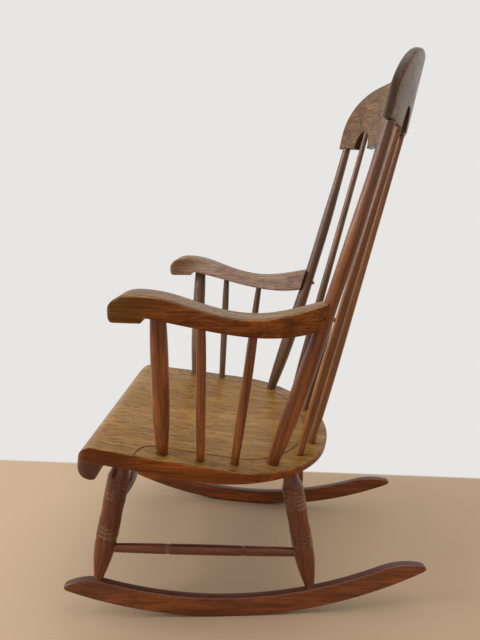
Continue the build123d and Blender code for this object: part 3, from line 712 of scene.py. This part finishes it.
def crest_place(u, v, depth):
    """Point of the crest rail, depth measured from its front."""
    turn = u / (crest_radius + crest_thickness / 2)
    reach = (crest_radius + depth) * math.cos(turn) - crest_radius
    x = (crest_radius + depth) * math.sin(turn)
    y = crest_front_y + reach * math.cos(crest_lean) + v * math.sin(crest_lean)
    z = crest_bottom_z - reach * math.sin(crest_lean) + v * math.cos(crest_lean)
    return Vector((x, y, z))


def arc_rise(radius, reach):
    """Rise of an arc above its lowest point, at a distance along it."""
    return radius - math.sqrt(radius**2 - reach**2)


def rocker_dip():
    """How far the rockers' arcs would dip below the floor, where the flat cuts them off."""
    return arc_rise(rocker_radii[0], rocker_flat / 2)


def tangent_run(start, slope, end):
    """Points on the arc that leaves start at a slope and passes through end."""
    across = Vector(end) - Vector(start)
    side = Vector((-slope[1], slope[0])).normalized()
    radius = across.length_squared / (2 * across.dot(side))
    centre = Vector(start) + side * radius
    first = Vector(start) - centre
    turn = first.angle_signed(Vector(end) - centre)
    return [tuple(centre + first @ Matrix.Rotation(turn * k / arc_steps, 2)) for k in range(arc_steps)]


def rocker_nose(sign, taper, radius, reach):
    """Rounded end of a rocker, from the end of its taper round to its lower edge."""
    above, before = Vector(taper[-1]), Vector(taper[-2])
    low_reach = reach - rocker_nose_length
    below = Vector((sign * low_reach, arc_rise(radius, low_reach) - rocker_dip()))
    ahead = (above - before).normalized() * rocker_nose_length * nose_fullness_above
    rising = Vector((sign * math.sqrt(radius**2 - reach**2), reach)).normalized()
    under = rising * rocker_nose_length * nose_fullness_below
    return smooth_run(above, above + ahead, below + under, below)


def rocker_half(sign, radius, reach, taper):
    """Front (-1) or rear (1) half of a rocker's side view: the lower edge from the middle outward, the end
    from the upper edge round to the lower one, and the upper edge from the middle outward."""
    dip = rocker_dip()
    inner = radius - rocker_depth
    shoulder = reach - taper
    last = reach - rocker_nose_length
    steps = [last * k / rocker_low_steps for k in range(rocker_low_steps + 1)]
    lower = [(sign * step, max(0.0, arc_rise(radius, step) - dip)) for step in steps]
    steps = [shoulder * k / rocker_top_steps for k in range(rocker_top_steps)]
    upper = [(sign * step, rocker_depth - dip + arc_rise(inner, step)) for step in steps]
    top_end = (sign * shoulder, rocker_depth - dip + arc_rise(inner, shoulder))
    blunt = (sign * reach, arc_rise(radius, reach) - dip + rocker_tip_height)
    slope = (sign, shoulder / math.sqrt(inner**2 - shoulder**2))
    taper_run = tangent_run(top_end, slope, blunt)[:-1]
    return lower, taper_run[:-1] + rocker_nose(sign, taper_run, radius, reach), upper


def rocker_outline():
    """Side view of a rocker, u to the rear and v up, anticlockwise with the rear on the right."""
    halves = zip((-1, 1), rocker_radii, rocker_reaches, rocker_tapers)
    (front_low, front_end, front_top), (rear_low, rear_end, rear_top) = (rocker_half(*h) for h in halves)
    run = rear_low + rear_end[::-1] + rear_top[::-1] + front_top[1:] + front_end + front_low[:0:-1]
    return [(u, v, rocker_round) for u, v in run]


def rocker_place(side):
    """Turns (u, v, depth) of the side view into a point of the left (1) or right (-1) rocker."""
    dip = rocker_dip()
    back = Vector((-math.sin(rocker_toe_in), math.cos(rocker_toe_in), 0))
    out = Vector((math.cos(rocker_toe_in), math.sin(rocker_toe_in), 0))

    def place(u, v, depth):
        radius = rocker_radii[1] if u > 0 else rocker_radii[0]
        height = radius - math.hypot(u, v - (radius - dip))
        lean = (depth - rocker_thickness / 2) - height * math.tan(rocker_cant)
        point = Vector((rocker_half_spacing, rocker_contact_y, v)) + back * u + out * lean
        return Vector((side * point.x, point.y, point.z))

    return place


def stand_for(piece, node_name):
    """Shows the piece in place of a node, in the node's oak."""
    piece.data.materials.append(bpy.data.materials["oak_" + node_name])
    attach(piece, "root")
    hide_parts(node_name)


def make_boards():
    """The crest rail and the rockers with their edges rounded over."""
    crest = rounded_board("crest_rail_rounded", crest_outline(), crest_thickness, crest_place)
    stand_for(crest, "crest_rail")
    for side, name in ((1, "rocker_left"), (-1, "rocker_right")):
        board = rounded_board(name + "_rounded", rocker_outline(), rocker_thickness, rocker_place(side))
        stand_for(board, name)


def background_rays(tree):
    """1 for the rays that show the background, 0 for the rays that carry light to the object."""
    rays = node(tree, "LightPath").outputs
    seen = maths(tree, "MAXIMUM", rays["Is Camera Ray"], rays["Is Glossy Ray"])
    return maths(tree, "MAXIMUM", seen, rays["Is Transmission Ray"])


def floor_material():
    """Pale beige floor that shows the wall's white where the wall would stand."""
    made = bpy.data.materials.new("floor")
    made.use_nodes = True
    tree = made.node_tree
    shader = tree.nodes["Principled BSDF"]
    place = node(tree, "TexCoord").outputs["Object"]
    beyond = spread(tree, split_up(tree, place)["X"], wall_x, wall_x - wall_band)
    beyond = maths(tree, "MULTIPLY", beyond, background_rays(tree))
    cloud = noise(tree, place, *floor_cloud)
    beige = overlaid(tree, cloud, floor_shade_share, linear(floor_beige), linear(floor_shade))
    tree.links.new(beige, shader.inputs["Base Color"])
    shader.inputs["Roughness"].default_value = floor_roughness
    shader.inputs["Specular IOR Level"].default_value = floor_shine
    wall = node(tree, "Emission", {"Color": linear(wall_white), "Strength": 1.0}).outputs[0]
    blend = node(tree, "MixShader", {0: beyond, 1: shader.outputs[0], 2: wall}).outputs[0]
    tree.links.new(blend, tree.nodes["Material Output"].inputs["Surface"])
    return made


def make_floor():
    """A flat square of floor under the chair."""
    r = floor_reach
    mesh = bpy.data.meshes.new("floor")
    mesh.from_pydata([(-r, -r, 0), (r, -r, 0), (r, r, 0), (-r, r, 0)], [], [(0, 1, 2, 3)])
    mesh.materials.append(floor_material())
    added("floor", mesh)


def make_world():
    """The room: the wall's white to the rays that show the background, and to the others a soft pale
    light that is strongest from the wall's side."""
    world = bpy.data.worlds.new("room")
    world.use_nodes = True
    bpy.context.scene.world = world
    tree = world.node_tree
    tree.nodes.clear()
    wall = node(tree, "Background", {"Color": linear(wall_white), "Strength": 1.0}).outputs[0]
    x = split_up(tree, node(tree, "TexCoord").outputs["Generated"])["X"]
    strength = spread(tree, x, daylight_from, daylight_to, daylight_least, daylight_most)
    light = node(tree, "Background", {"Color": daylight, "Strength": strength}).outputs[0]
    blend = node(tree, "MixShader", {0: background_rays(tree), 1: light, 2: wall}).outputs[0]
    tree.links.new(blend, node(tree, "OutputWorld").inputs["Surface"])


def area_light(name, place, aim, size, power, colour):
    """A lamp that shines from a rectangle at one place toward a point."""
    data = bpy.data.lights.new(name, "AREA")
    data.shape = "RECTANGLE"
    data.size, data.size_y = size
    data.energy = power
    data.color = colour
    made = added(name, data)
    made.location = place
    made.rotation_mode = "QUATERNION"
    made.rotation_quaternion = (Vector(aim) - Vector(place)).to_track_quat("-Z", "Y")


def make_camera():
    """The camera, at the chair's left side."""
    data = bpy.data.cameras.new("camera")
    data.sensor_width = camera_sensor
    data.lens = camera_lens
    made = added("camera", data)
    right, up = Vector(camera_right), Vector(camera_up)
    axes = Matrix((right, up, right.cross(up))).transposed()
    made.matrix_world = Matrix.Translation(camera_place) @ axes.to_4x4()
    bpy.context.scene.camera = made


for old in list(bpy.data.objects):
    bpy.data.objects.remove(old)
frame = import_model()
bpy.context.scene.view_settings.view_transform = "Standard"
make_world()
make_floor()
area_light("window", *window_lamp)
area_light("ceiling", *ceiling_lamp)
make_camera()
dress_all(oak_figure())
make_boards()
